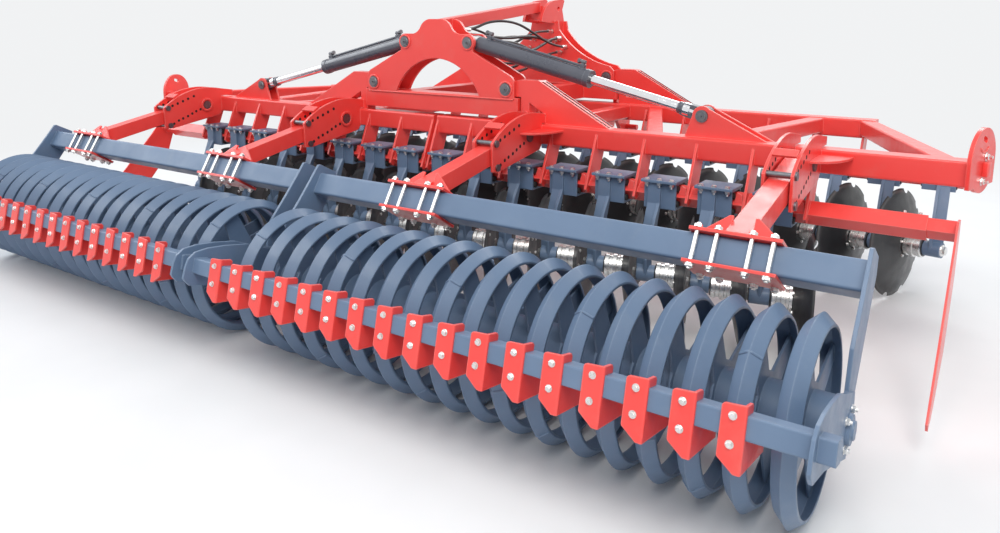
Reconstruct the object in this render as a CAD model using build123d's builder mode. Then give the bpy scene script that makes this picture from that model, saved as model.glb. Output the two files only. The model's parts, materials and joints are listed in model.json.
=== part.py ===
from build123d import *
from math import cos, pi, radians, sin, tan
import os

# Mounted folding disc harrow: a centre frame with the three-point headstock, two wings hinged to
# it that fold up, two rows of notched discs on each wing and a ring roller behind each wing.
# X runs across the machine, Y forward to the tractor, Z up from the ground. Millimetres.

# Places along the machine, each measured forward from the roller's axis
roller_y = -1098.5            # roller axis in this frame
rear_beam_ahead = 1207.0      # centre of the wings' rear beam
row_distance = 1153.0         # from the rear beam to the front beam
roller_beam_ahead = 278.0     # centre of the roller's top beam
scraper_face_ahead = -411.0   # middle of the scraper bar's rear face
cylinder_ahead = 1230.0       # plane of the folding cylinders

# Wing frame
beam_size = 100.0             # upper square tubes
beam_top_z = 883.0
wing_gap = 25.0               # between the two wings' inner ends
diamond_size = 70.0           # lower square tubes, set on edge
diamond_back = 87.0           # lower tube's centre behind the upper tube's centre
diamond_z = 623.0
rib_pitch = 250.0
rib_count = 8                 # ribs at one to eight pitches from the centre
rib_thickness = 12.0
tube_corner_r = 10.0          # outer corners of the square tubes
front_bend_x = 2000.0         # where the front beam turns back to the end plate
front_diamond_end_x = 2480.0
rear_diamond_end_x = 2430.0
diamond_wall = 6.0
deflector_inset = 230.0       # of the deflector's tube inside the rear lower tube
slide_clearance = 0.3
wing_end_x = 2534.0
blade_x = 2526.0
blade_thickness = 8.0
brace_size = 80.0             # diagonals between the two beams
brace_drop = 5.0              # of their tops below the beams' tops
end_plate_thickness = 16.0
end_plate_turn = 15.0         # degrees that the end plate is toed out

# Fold hinges
hinge_x = 464.0
hinge_z = 1048.0
hinge_pin_r = 22.0
pin_clearance = 0.3
lug_r = 37.0
arm_depth = 68.0              # along Y
arm_face_x = 545.0            # inner face of the hinge arm
arm_top_z = 1100.0
arm_shoulder_x = 650.0
arm_toe_x = 1060.0

# Centre frame
cross_tube_half = 535.0
cross_tube_depth = 116.0
cross_tube_height = 100.0
cross_tube_bottom_z = 905.0
tower_gap = 96.0              # between the two plates of a tower
tower_plate = 15.0
tower_top_z = 1408.0
dome_half = 40.0              # flat top of the rear tower
tower_foot = 6.0              # of the tower plates inside the cross tube
lobe_r = 50.0                 # from the hinge pins to the towers' sides
cylinder_pin_x = 219.0
cylinder_pin_z = 1283.0
cylinder_pin_r = 20.0
cylinder_boss_r = 45.0
arch_r = 320.0
arch_centre_z = 875.0
keel_x = 250.0                # the two long tubes of the centre frame
front_top_z = 1400.0
front_neck_half = 110.0
strut_size = 65.0
strut_back_ahead = 1172.0
strut_front_ahead = 2212.0
strut_rise = 120.0

# Headstock, category 3 hitch
lower_pin_r = 18.3
lower_pin_spread = 965.0      # between the shoulders
lower_pin_length = 80.0
lower_pin_ahead = 2600.0
lower_pin_z = 700.0
hitch_plate = 25.0
hitch_foot_ahead = 2440.0     # where the pins' plates meet the front cross tube
hitch_tube_ahead = 2550.0     # tube between the two plates
top_pin_r = 16.2
top_pin_ahead = 2370.0
top_pin_z = 1480.0
ear_half_gap = 55.0
ear_thickness = 20.0
ear_web_z = 1455.0            # plate between the ears that the strut ends on
ear_web_height = 90.0

# Folding cylinders
barrel_r = 42.0
barrel_wall = 8.0
barrel_length = 728.0         # from the base pin to the gland's face
barrel_eye_width = 80.0
rod_r = 24.0
rod_pin_x = 1506.0
rod_pin_z = 979.0
rod_eye_r = 40.0
rod_eye_width = 42.0
rod_eye_bore_r = 20.0
rod_lug_r = 45.0
rod_lug_thickness = 12.0
rod_lug_clearance = 8.0
lug_foot = 12.0               # of the lugs inside the beam and the brace
lug_web_from_pin = 160.0      # plate across from one lug to the other
lug_web_height = 60.0
piston_inset = 90.0           # of the rod inside the barrel at rest
piston_length = 40.0
gland_length = 30.0
pin_head = 8.0
port_size = 26.0              # blocks that carry the pipe along the barrel
port_height = 22.0
port_inset = 62.0             # of the front block from the barrel's end
port_start = 96.0             # of the rear block from the base pin
pipe_r = 7.0
hose_r = 9.0

# Disc arms and discs
arm_pitch = 250.0
arm_first_x = 125.0
rear_arms = 8
front_arms_right = 10
front_arms_left = 9
housing_outer = 120.0
housing_clearance = 0.3
housing_width = 150.0
cover_width = 166.0           # plate on top of the housing
cover_thickness = 12.0
cover_overhang = 25.0         # behind the housing
leg_plate_width = 60.0
leg_plate_shift = 8.0         # of the leg's plate from its foot, towards its own disc
leg_rib = 14.0
leg_rib_shift = 31.0          # of the rib behind it, flush with the plate's edge
disc_r = 280.0
disc_thickness = 6.0
disc_dish = 55.0
disc_flat_r = 75.0
disc_gang_angle = 17.0        # of the disc to the way of travel
disc_tilt = 2.0               # of the disc from upright
notch_r = 24.0
notch_count = 10
disc_offset_x = 165.0         # of the rim's centre from its arm
disc_behind_diamond = 105.0   # of the rim's centre from the lower tube
hub_r = 45.0
hub_length = 88.0
spindle_r = 17.5
spindle_clearance = 0.3
spindle_inset = 26.0          # from the disc's flat to the spindle's end
bore_inset = 20.0             # from the disc's flat to the end of the hub's bore
boss_r = 38.0
boss_length = 80.0
boss_gap = 2.0
boss_past_leg = 20.0          # of the boss on the far side of the leg's rib

# Ring roller
ring_r = 300.0
ring_half_width = 32.0
ring_rise = 29.0              # of the ridge over the ring's edges
ring_wall = 9.0
ring_pitch = 125.0
ring_first_x = 153.0
ring_count = 18
core_r = 84.0
core_inset = 27.0             # of the core's ends inside the side plates' outer faces
spoke_count = 4
spoke_thickness = 8.0
spoke_root = 110.0
spoke_tip = 64.0
shaft_r = 25.0
shaft_clearance = 0.3

# Roller frame and scrapers
roller_beam_z = 640.0
roller_beam_tilt = 32.0
side_plate = 12.0
side_plate_in_x = 43.0
side_plate_out_x = 2370.0
scraper_plate = 8.0
scraper_bar_size = 60.0
scraper_bar_tilt = 13.0
scraper_face_z = 440.5
scraper_bar_in_x = 28.0
scraper_bar_out_x = 2420.0
scraper_width = 58.0
scraper_reach = 195.0         # of the fold forward between the rings
scraper_corner_r = 10.0
bracket_plate = 10.0
plate_overlap = 2.0           # of a welded plate inside the plate next to it

# Roller arms and their clamps
roller_arm_x = (634.0, 1966.0)
roller_arm_width = 80.0
roller_arm_height = 80.0
roller_arm_slope = 11.3       # degrees
arm_pivot_ahead = 1040.0
arm_pivot_z = 835.0
arm_pivot_r = 18.0
clamp_length = 300.0
clamp_width = 150.0
clamp_plate = 12.0
clamp_rod_r = 8.0
clamp_rod_offset = 64.0
clamp_rod_length = 150.0
clamp_rod_x = (-123.0, -56.0, 56.0, 123.0)
bracket_gap = 6.0
bracket_thickness = 12.0
stop_pin_r = 12.0
stop_pin_places = ((763.0, 722.0), (752.0, 836.0))   # ahead of the roller's axis, and height

# Worked out from the sizes above
rear_beam_y = roller_y + rear_beam_ahead
front_beam_y = rear_beam_y + row_distance
beam_z = beam_top_z - beam_size / 2
wing_start_x = wing_gap / 2
cylinder_y = roller_y + cylinder_ahead
cross_tube_z = cross_tube_bottom_z + cross_tube_height / 2
cross_tube_top_z = cross_tube_bottom_z + cross_tube_height
tower_half = tower_gap / 2 + tower_plate
disc_rim_z = disc_r * cos(radians(disc_tilt))
deflector_bore = diamond_size - 2 * diamond_wall
boss_start = disc_dish + hub_length + boss_gap
hub_reach = boss_start + boss_length - boss_past_leg    # from the rim's plane to the leg's rib

ahead_plane = Plane(origin=(0, roller_y, 0), x_dir=(0, 1, 0), z_dir=(1, 0, 0))

os.makedirs("parts", exist_ok=True)


def save(part, name):
    """Label a finished piece and write it to its own file."""
    part.label = name
    export_step(part, f"parts/{name}.step")


def other_side(part):
    """The same piece for the left wing."""
    return mirror(part, about=Plane.YZ)


# Wing frame: two beams on top, two tubes set on edge below them, ribs between, braces across
rib_outline = (               # along Y and Z, from the upper tube's centre
    (-50, 25), (-157, -228), (-135, -247), (-38, -210), (30, -50), (30, 50), (-25, 50),
)
braces = (                    # start X on the rear beam, end X on the front beam
    (600, 600),
    (1276, 790),
    (1540, 1760),
    (2480, 2000),
)
rib_places = [wing_start_x] + [
    rib * rib_pitch - rib_thickness / 2 for rib in range(1, rib_count + 1)
]
with BuildPart() as wing_frame:
    for beam_y, beam_end, diamond_end in (
        (rear_beam_y, wing_end_x + end_plate_thickness, rear_diamond_end_x),
        (front_beam_y, front_bend_x + beam_size / 2, front_diamond_end_x),
    ):
        with BuildSketch(Plane.YZ.offset(wing_start_x)):
            with Locations((beam_y, beam_z)):
                RectangleRounded(beam_size, beam_size, tube_corner_r)
        extrude(amount=beam_end - wing_start_x)
        with BuildSketch(Plane.YZ.offset(wing_start_x)):
            with Locations((beam_y - diamond_back, diamond_z)):
                Rectangle(diamond_size, diamond_size, rotation=45)
        extrude(amount=diamond_end - wing_start_x)
    with BuildSketch(*[Plane.YZ.offset(rib_x) for rib_x in rib_places]):
        with Locations((rear_beam_y, beam_z), (front_beam_y, beam_z)):
            Polygon(*rib_outline, align=None)
    extrude(amount=rib_thickness)
    for start_x, end_x in braces:
        brace_start = (start_x, rear_beam_y, beam_top_z - brace_drop - brace_size / 2)
        brace_run = Vector(end_x - start_x, row_distance, 0)
        with BuildSketch(Plane(origin=brace_start, x_dir=(0, 0, 1), z_dir=brace_run)):
            RectangleRounded(brace_size, brace_size, tube_corner_r)
        extrude(amount=brace_run.length)
    # the rear lower tube is open at its outer end, where the deflector's tube slides in
    with BuildSketch(Plane.YZ.offset(rear_diamond_end_x)):
        with Locations((rear_beam_y - diamond_back, diamond_z)):
            Rectangle(deflector_bore, deflector_bore, rotation=45)
    extrude(amount=-deflector_inset - 20, mode=Mode.SUBTRACT)
    # end plate, toed out from the rear beam's end
    end_plane = Plane(
        origin=(wing_end_x, rear_beam_y - beam_size / 2 - 27, 0),
        x_dir=(sin(radians(end_plate_turn)), cos(radians(end_plate_turn)), 0),
        z_dir=(cos(radians(end_plate_turn)), -sin(radians(end_plate_turn)), 0),
    )
    with BuildSketch(end_plane):
        with Locations((125, 880)):
            Circle(125)
        with Locations((125, 830)):
            Rectangle(250, 100)
        with Locations((125, 960)):
            SlotOverall(48, 22, rotation=-20, mode=Mode.SUBTRACT)
    extrude(amount=end_plate_thickness)
    # hinge arms on the two beams
    for beam_y in (rear_beam_y, front_beam_y):
        arm_y = beam_y + cylinder_ahead - rear_beam_ahead
        with BuildSketch(Plane.XZ.offset(-arm_y - arm_depth / 2 + 7)):
            with BuildLine():
                Polyline(
                    (arm_face_x, beam_top_z - 5),
                    (arm_face_x, hinge_z - lug_r),
                    (hinge_x, hinge_z - lug_r),
                    (hinge_x, hinge_z + lug_r),
                    (arm_face_x, arm_top_z),
                    (arm_shoulder_x, arm_top_z),
                    (arm_toe_x, beam_top_z - 5),
                    close=True,
                )
            make_face()
            with Locations((hinge_x, hinge_z)):
                Circle(lug_r)
                Circle(hinge_pin_r + pin_clearance, mode=Mode.SUBTRACT)
            with BuildLine():
                Polyline((595, 925), (595, 985), (700, 925), close=True)
            make_face(mode=Mode.SUBTRACT)
        extrude(amount=arm_depth)
    # lugs that take the cylinder's rod
    for lug_side in (-1, 1):
        lug_inner = rod_eye_width / 2 + rod_lug_clearance
        lug_start = -cylinder_y + lug_side * (lug_inner + rod_lug_thickness / 2)
        with BuildSketch(Plane.XZ.offset(lug_start - rod_lug_thickness / 2)):
            with BuildLine():
                Polyline(
                    (rod_pin_x - rod_lug_r, rod_pin_z),
                    (rod_pin_x - 80, beam_top_z - lug_foot),
                    (rod_pin_x + 320, beam_top_z - lug_foot),
                    (rod_pin_x + 30, rod_pin_z + 33),
                )
                ThreePointArc(
                    (rod_pin_x + 30, rod_pin_z + 33),
                    (rod_pin_x - 10, rod_pin_z + 44),
                    (rod_pin_x - rod_lug_r, rod_pin_z),
                )
            make_face()
            with Locations((rod_pin_x, rod_pin_z)):
                Circle(rod_eye_bore_r + pin_clearance, mode=Mode.SUBTRACT)
        extrude(amount=rod_lug_thickness)
    with BuildSketch(Plane.XY.offset(beam_top_z - lug_foot)):
        with Locations((rod_pin_x + lug_web_from_pin, cylinder_y)):
            Rectangle(rod_lug_thickness, rod_eye_width + 2 * rod_lug_clearance + 2)
    extrude(amount=lug_web_height)
    # brackets of the roller arms
    for arm_x in roller_arm_x:
        for bracket_side in (-1, 1):
            inner = roller_arm_width / 2 + bracket_gap
            start = arm_x + bracket_side * (inner + bracket_thickness / 2) - bracket_thickness / 2
            with BuildSketch(ahead_plane.offset(start)):
                with BuildLine():
                    Polyline(
                        (724, 839), (726, 705), (782, 701), (933, 726), (1138, 758),
                        (1160, 783), (1160, 890), (1250, 890), (1250, 925), (1158, 939),
                    )
                    ThreePointArc((1158, 939), (939, 941), (724, 839))
                make_face()
                with Locations((arm_pivot_ahead, arm_pivot_z)):
                    Circle(arm_pivot_r + pin_clearance, mode=Mode.SUBTRACT)
                with Locations(*stop_pin_places):
                    Circle(stop_pin_r + pin_clearance, mode=Mode.SUBTRACT)
            extrude(amount=bracket_thickness)
save(wing_frame.part, "wing_frame_right")
save(other_side(wing_frame.part), "wing_frame_left")

# Disc arms: a square housing round the lower tube, a leg down to the disc's spindle


def disc_planes(beam_y, side):
    """Plane at the rim's centre of the disc whose arm stands at X = 0, Z towards its hub."""
    gang = radians(disc_gang_angle)
    tilt = radians(disc_tilt)
    rim = (side * disc_offset_x, beam_y - diamond_back - disc_behind_diamond, disc_rim_z)
    axis = (-side * cos(gang) * cos(tilt), -sin(gang) * cos(tilt), sin(tilt))
    return Plane(origin=rim, x_dir=(-side * sin(gang), cos(gang), 0), z_dir=axis)


rear_disc_plane = disc_planes(rear_beam_y, 1)
front_disc_plane = disc_planes(front_beam_y, -1)
arm_shapes = []
for beam_y, disc_plane, disc_side in (
    (rear_beam_y, rear_disc_plane, 1),
    (front_beam_y, front_disc_plane, -1),
):
    tube_y = beam_y - diamond_back
    foot = disc_plane.origin + disc_plane.z_dir * hub_reach
    plate_x = foot.X + disc_side * leg_plate_shift
    rib_x = foot.X + disc_side * leg_rib_shift
    with BuildPart() as arm_shape:
        with BuildSketch(Plane.YZ.offset(-housing_width / 2)):
            with Locations((tube_y, diamond_z)):
                Rectangle(housing_outer, housing_outer)
                Rectangle(
                    diamond_size * 2 ** 0.5 + 2 * housing_clearance,
                    diamond_size * 2 ** 0.5 + 2 * housing_clearance,
                    mode=Mode.SUBTRACT,
                )
        extrude(amount=housing_width)
        with BuildSketch(Plane.YZ.offset(-cover_width / 2)):
            with Locations((tube_y - cover_overhang / 2, diamond_z + housing_outer / 2)):
                Rectangle(
                    housing_outer + cover_overhang, cover_thickness, align=(Align.CENTER, Align.MIN)
                )
        extrude(amount=cover_width)
        # the leg: a flat plate down the housing's rear face, and a rib behind it that holds the boss
        with BuildSketch(Plane.YZ.offset(plate_x - leg_plate_width / 2)):
            Polygon(
                (tube_y - 58, diamond_z + 62), (tube_y - 72, diamond_z + 62),
                (tube_y - 74, diamond_z - 35), (foot.Y - 6, foot.Z + 62), (foot.Y - 6, foot.Z),
                (foot.Y + 8, foot.Z), (foot.Y + 8, foot.Z + 64), (tube_y - 60, diamond_z - 38),
                (tube_y - 58, diamond_z), align=None,
            )
        extrude(amount=leg_plate_width)
        with BuildSketch(Plane.YZ.offset(rib_x - leg_rib / 2)):
            Polygon(
                (tube_y - 72, diamond_z - 30), (tube_y - 116, diamond_z - 96),
                (foot.Y - 36, foot.Z + 70), (foot.Y - 30, foot.Z), (foot.Y + 26, foot.Z),
                (foot.Y + 22, foot.Z + 60), (tube_y - 64, diamond_z - 44), align=None,
            )
        extrude(amount=leg_rib)
        with BuildSketch(disc_plane.offset(boss_start)):
            Circle(boss_r)
        extrude(amount=boss_length)
        with BuildSketch(disc_plane.offset(disc_dish + spindle_inset)):
            Circle(spindle_r)
        extrude(amount=boss_start - disc_dish)
    arm_shapes.append(arm_shape.part)

arm_rows = {                  # wing: side of the machine, arms in the rear row, arms in the front row
    "right": (1, rear_arms, front_arms_right),
    "left": (-1, rear_arms, front_arms_left),
}
for wing, (side, *row_counts) in arm_rows.items():
    with BuildPart() as disc_arms:
        for shape, count in zip(arm_shapes, row_counts):
            places = [(side * (arm_first_x + k * arm_pitch), 0, 0) for k in range(count)]
            with Locations(*places):
                add(shape)
    save(disc_arms.part, f"disc_arms_{wing}")

# Notched discs, each with its bearing hub
disc_shapes = []
for disc_plane in (rear_disc_plane, front_disc_plane):
    profile_plane = Plane(
        origin=disc_plane.origin, x_dir=disc_plane.x_dir, z_dir=-disc_plane.y_dir
    )
    with BuildPart() as disc_shape:
        with BuildSketch(profile_plane):
            with BuildLine():
                Polyline(
                    (0, disc_dish - disc_thickness),
                    (disc_flat_r, disc_dish - disc_thickness),
                    (disc_r, 0),
                    (disc_flat_r, disc_dish),
                    (hub_r, disc_dish),
                    (hub_r, disc_dish + hub_length),
                    (spindle_r + spindle_clearance, disc_dish + hub_length),
                    (spindle_r + spindle_clearance, disc_dish + bore_inset),
                    (0, disc_dish + bore_inset),
                    close=True,
                )
            make_face()
        revolve(axis=Axis(disc_plane.origin, disc_plane.z_dir))
        with BuildSketch(disc_plane.offset(-disc_dish)):
            with PolarLocations(disc_r + 4, notch_count):
                Circle(notch_r)
        extrude(amount=2 * disc_dish, mode=Mode.SUBTRACT)
    disc_shapes.append(disc_shape.part)

for wing, (side, *row_counts) in arm_rows.items():
    for row, shape, count in zip(("rear", "front"), disc_shapes, row_counts):
        for k in range(count):
            place = Location((side * (arm_first_x + k * arm_pitch), 0, 0))
            save(shape.moved(place), f"disc_{row}_{wing}_{k + 1}")

# Ring roller: ridged rings on spoked plates round a core tube, turning between the side plates
roller_axis = Axis((0, roller_y, ring_r), (1, 0, 0))
ring_places = [ring_first_x + k * ring_pitch for k in range(ring_count)]
ring_edge_r = ring_r - ring_rise
with BuildPart() as roller:
    with BuildSketch(Plane.YZ.offset(side_plate_in_x + core_inset)):
        with Locations((roller_y, ring_r)):
            Circle(core_r)
    extrude(amount=side_plate_out_x - side_plate_in_x - 2 * core_inset)
    with BuildSketch(*[Plane.YZ.offset(x - spoke_thickness / 2) for x in ring_places]):
        with Locations((roller_y, ring_r)):
            Circle(core_r + 20)
            with PolarLocations(0, spoke_count, start_angle=20):
                Polygon(
                    (core_r - 10, -spoke_root / 2),
                    (ring_r - ring_wall + 2, -spoke_tip / 2),
                    (ring_r - ring_wall + 2, spoke_tip / 2),
                    (core_r - 10, spoke_root / 2),
                    align=None,
                )
    extrude(amount=spoke_thickness)
    with BuildSketch(Plane.XZ.offset(-roller_y)):
        with Locations(*[(x, ring_r) for x in ring_places]):
            Polygon(
                (-ring_half_width, ring_edge_r),
                (0, ring_r),
                (ring_half_width, ring_edge_r),
                (ring_half_width, ring_edge_r - ring_wall),
                (0, ring_r - ring_wall),
                (-ring_half_width, ring_edge_r - ring_wall),
                align=None,
            )
    revolve(axis=roller_axis)
    with BuildSketch(Plane.YZ.offset(side_plate_in_x - 8)):
        with Locations((roller_y, ring_r)):
            Circle(shaft_r)
    extrude(amount=side_plate_out_x - side_plate_in_x + 16)
save(roller.part, "roller_right")
save(other_side(roller.part), "roller_left")

# Roller frame: the top beam set on a slant, two side plates, scraper brackets and scraper bar
tilt = radians(roller_beam_tilt)
beam_plane = Plane(
    origin=(0, roller_y + roller_beam_ahead, roller_beam_z),
    x_dir=(0, cos(tilt), -sin(tilt)),
    z_dir=(1, 0, 0),
)
bar_tilt = radians(scraper_bar_tilt)
face_plane = Plane(
    origin=(0, roller_y + scraper_face_ahead, scraper_face_z),
    x_dir=(0, cos(bar_tilt), -sin(bar_tilt)),
    z_dir=(1, 0, 0),
)
with BuildPart() as roller_frame:
    with BuildSketch(beam_plane.offset(side_plate_in_x)):
        RectangleRounded(beam_size, beam_size, tube_corner_r)
    extrude(amount=side_plate_out_x - side_plate_in_x - side_plate)
    with BuildSketch(
        ahead_plane.offset(side_plate_in_x), ahead_plane.offset(side_plate_out_x - side_plate)
    ):
        with BuildLine():
            Polyline(
                (262, 745), (355, 695), (345, 640), (190, 440), (84, 310),
                (-82, 316), (16, 400), (45, 512), (129, 603), (209, 696), (249, 745),
                close=True,
            )
        make_face()
        with Locations((0, ring_r)):
            Circle(85)
            Circle(shaft_r + shaft_clearance, mode=Mode.SUBTRACT)
    extrude(amount=side_plate)
    with BuildSketch(
        ahead_plane.offset(side_plate_in_x - bracket_plate + plate_overlap),
        ahead_plane.offset(side_plate_out_x - plate_overlap),
    ):
        with BuildLine():
            Polyline(
                (-74, 433), (-153, 467), (-255, 486), (-340, 495), (-397, 492),
                (-430, 472), (-446, 442), (-459, 401), (-452, 386), (-433, 363),
                (-300, 330), (-95, 250), (0, 212), (80, 260), (70, 380),
                close=True,
            )
        make_face()
        with Locations((0, ring_r)):
            Circle(shaft_r + shaft_clearance, mode=Mode.SUBTRACT)
    extrude(amount=bracket_plate)
    with BuildSketch(face_plane.offset(scraper_bar_in_x)):
        with Locations((scraper_bar_size / 2, 0)):
            RectangleRounded(scraper_bar_size, scraper_bar_size, tube_corner_r / 2)
    extrude(amount=scraper_bar_out_x - scraper_bar_in_x)
save(roller_frame.part, "roller_frame_right")
save(other_side(roller_frame.part), "roller_frame_left")

# Scrapers: a plate bolted on the bar's rear face, folded forward between two rings
half_bar = scraper_bar_size / 2
scraper_places = [
    (ring_first_x + (k + 0.5) * ring_pitch, 0, 0) for k in range(ring_count - 1)
]
rear_plane = Plane(
    origin=face_plane.origin,
    x_dir=(1, 0, 0),
    z_dir=(0, -cos(bar_tilt), sin(bar_tilt)),
)
with BuildPart() as scraper:
    with BuildSketch(rear_plane):
        Polygon(
            (scraper_plate / 2, 54), (-scraper_width, 50), (-scraper_width, -80), (-14, -113),
            (scraper_plate / 2, -113), align=None,
        )
        fillet(vertices().group_by(Axis.X)[0], radius=scraper_corner_r)
    extrude(amount=scraper_plate)
    with BuildSketch(face_plane.offset(-scraper_plate / 2)):
        Polygon(
            (-scraper_plate, 54), (38, 54), (46, 46), (46, half_bar), (0, half_bar), (0, -half_bar),
            (scraper_bar_size, -half_bar), (scraper_reach, -78), (scraper_reach, -100),
            (-scraper_plate, -113), align=None,
        )
    extrude(amount=scraper_plate)
    fold = rear_plane.from_local_coords((scraper_plate / 2, -60, scraper_plate))
    fillet(edges().sort_by_distance(fold)[0], radius=scraper_plate - 2)
for wing, side in (("right", 1), ("left", -1)):
    shape = scraper.part if side > 0 else other_side(scraper.part)
    with BuildPart() as scrapers:
        with Locations(*[(side * x, y, z) for x, y, z in scraper_places]):
            add(shape)
    save(scrapers.part, f"scrapers_{wing}")

# Roller arms, each with the clamp's top plate, and the lower plate on the other side of the beam
slope = radians(roller_arm_slope)
arm_line = Plane(
    origin=(0, roller_y + arm_pivot_ahead, arm_pivot_z),
    x_dir=(0, -cos(slope), -sin(slope)),
    z_dir=(-1, 0, 0),
)
with BuildPart() as roller_arms:
    with BuildSketch(*[arm_line.offset(-x - roller_arm_width / 2) for x in roller_arm_x]):
        with Locations((400, 0)):
            Rectangle(800, roller_arm_height)
        Circle(roller_arm_height / 2)
        Circle(arm_pivot_r + pin_clearance, mode=Mode.SUBTRACT)
    extrude(amount=roller_arm_width)
    with BuildSketch(beam_plane):
        with Locations((0, beam_size / 2 - 200)):
            Rectangle(600, 400)
    extrude(amount=2600, mode=Mode.SUBTRACT)
    for start in (beam_size / 2, -beam_size / 2 - clamp_plate):
        for arm_x in roller_arm_x:
            with BuildSketch(beam_plane.offset(arm_x - clamp_length / 2)):
                with Locations((0, start + clamp_plate / 2)):
                    Rectangle(clamp_width, clamp_plate)
            extrude(amount=clamp_length)
    rod_plane = Plane(
        origin=beam_plane.origin - beam_plane.y_dir * clamp_rod_length / 2,
        x_dir=(1, 0, 0),
        z_dir=beam_plane.y_dir,
    )
    rod_places = [
        (arm_x + rod_x, rod_side * clamp_rod_offset)
        for arm_x in roller_arm_x
        for rod_x in clamp_rod_x
        for rod_side in (-1, 1)
    ]
    with BuildSketch(rod_plane):
        with Locations(*rod_places):
            Circle(clamp_rod_r + pin_clearance)
    extrude(amount=clamp_rod_length, mode=Mode.SUBTRACT)
save(roller_arms.part, "roller_arms_right")
save(other_side(roller_arms.part), "roller_arms_left")

# Clamp rods through both plates, four behind the beam and four in front of it
with BuildPart() as clamp_rods:
    with BuildSketch(rod_plane):
        with Locations(*rod_places):
            Circle(clamp_rod_r)
    extrude(amount=clamp_rod_length)
save(clamp_rods.part, "clamp_rods_right")
save(other_side(clamp_rods.part), "clamp_rods_left")

# Side deflector: a tube that slides out of the rear lower tube, with a pointed blade on its end
with BuildPart() as deflector:
    with BuildSketch(Plane.YZ.offset(rear_diamond_end_x - deflector_inset)):
        with Locations((rear_beam_y - diamond_back, diamond_z)):
            Rectangle(
                deflector_bore - 2 * slide_clearance,
                deflector_bore - 2 * slide_clearance,
                rotation=45,
            )
    extrude(amount=blade_x - rear_diamond_end_x + deflector_inset)
    with BuildSketch(ahead_plane.offset(blade_x)):
        with BuildLine():
            Polyline(
                (1070, 672), (1168, 660), (1175, 600), (1110, 420), (930, 220),
                (640, 95), (540, 90), (520, 120), (760, 340), (1010, 600),
                close=True,
            )
        make_face()
    extrude(amount=blade_thickness)
save(deflector.part, "deflector_right")
save(other_side(deflector.part), "deflector_left")

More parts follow.
